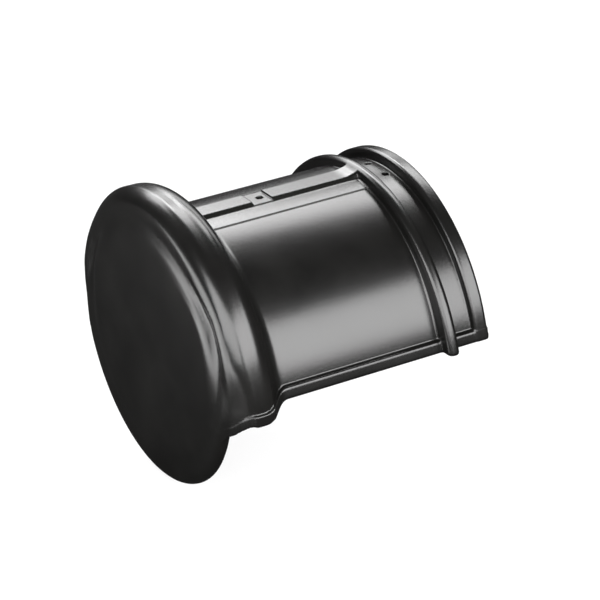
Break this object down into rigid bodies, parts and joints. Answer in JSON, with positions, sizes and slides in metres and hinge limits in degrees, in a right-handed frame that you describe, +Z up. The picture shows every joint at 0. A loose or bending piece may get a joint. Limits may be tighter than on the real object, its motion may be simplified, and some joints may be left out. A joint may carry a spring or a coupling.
{
  "type": "half-round ridge tile",
  "caption": "Half-round clay ridge tile in black glaze, closed at one end by a round disc with a swollen bell behind it; it caps the end of a roof ridge.",
  "frame": {"origin": "In the plane of the two hems, midway between them, just behind the closing disc", "axes": "+X along the ridge from the disc to the open end, +Z up, +Y completes the right-handed frame"},
  "size_m": [0.2125, 0.2594, 0.2176],
  "materials": {
    "black_glaze": "satin glaze"
  },
  "bodies": {
    "root": {"ridge_tile": "black_glaze"}
  },
  "joints": []
}
